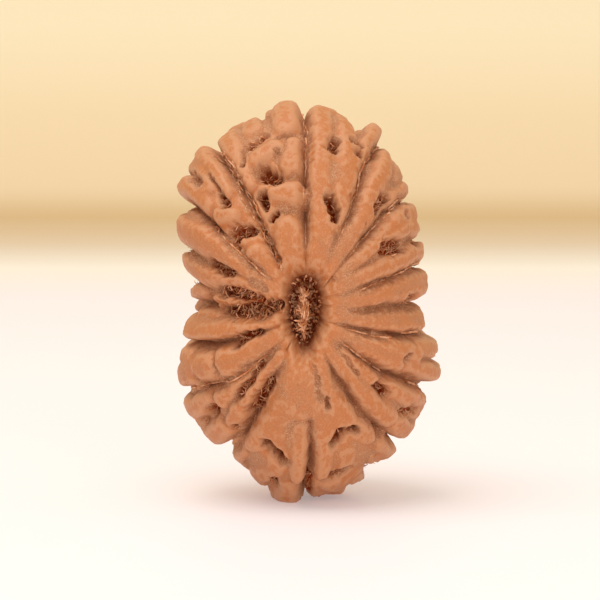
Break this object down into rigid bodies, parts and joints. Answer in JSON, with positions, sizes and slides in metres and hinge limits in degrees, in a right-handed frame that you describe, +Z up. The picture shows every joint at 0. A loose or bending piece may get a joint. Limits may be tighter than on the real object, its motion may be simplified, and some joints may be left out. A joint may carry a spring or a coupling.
{
  "type": "rudraksha bead",
  "caption": "Oval ribbed rudraksha seed bead with deep seams and pits, a slot-like mouth at each end of its natural string hole, standing on its narrow end.",
  "frame": {"origin": "under the middle of the bead's box, on the surface that it stands on", "axes": "+Z up along the long axis of the face, +X to the right seen from the front, +Y from the front mouth to the back mouth"},
  "size_m": [0.0224, 0.0216, 0.0338],
  "materials": {
    "seed_stone": "hard dry fruit stone, warm orange brown and slightly waxy on the rib tops, dusty on the flanks, dark and fibrous in the pits"
  },
  "bodies": {
    "root": {"bead": "seed_stone"}
  },
  "joints": []
}
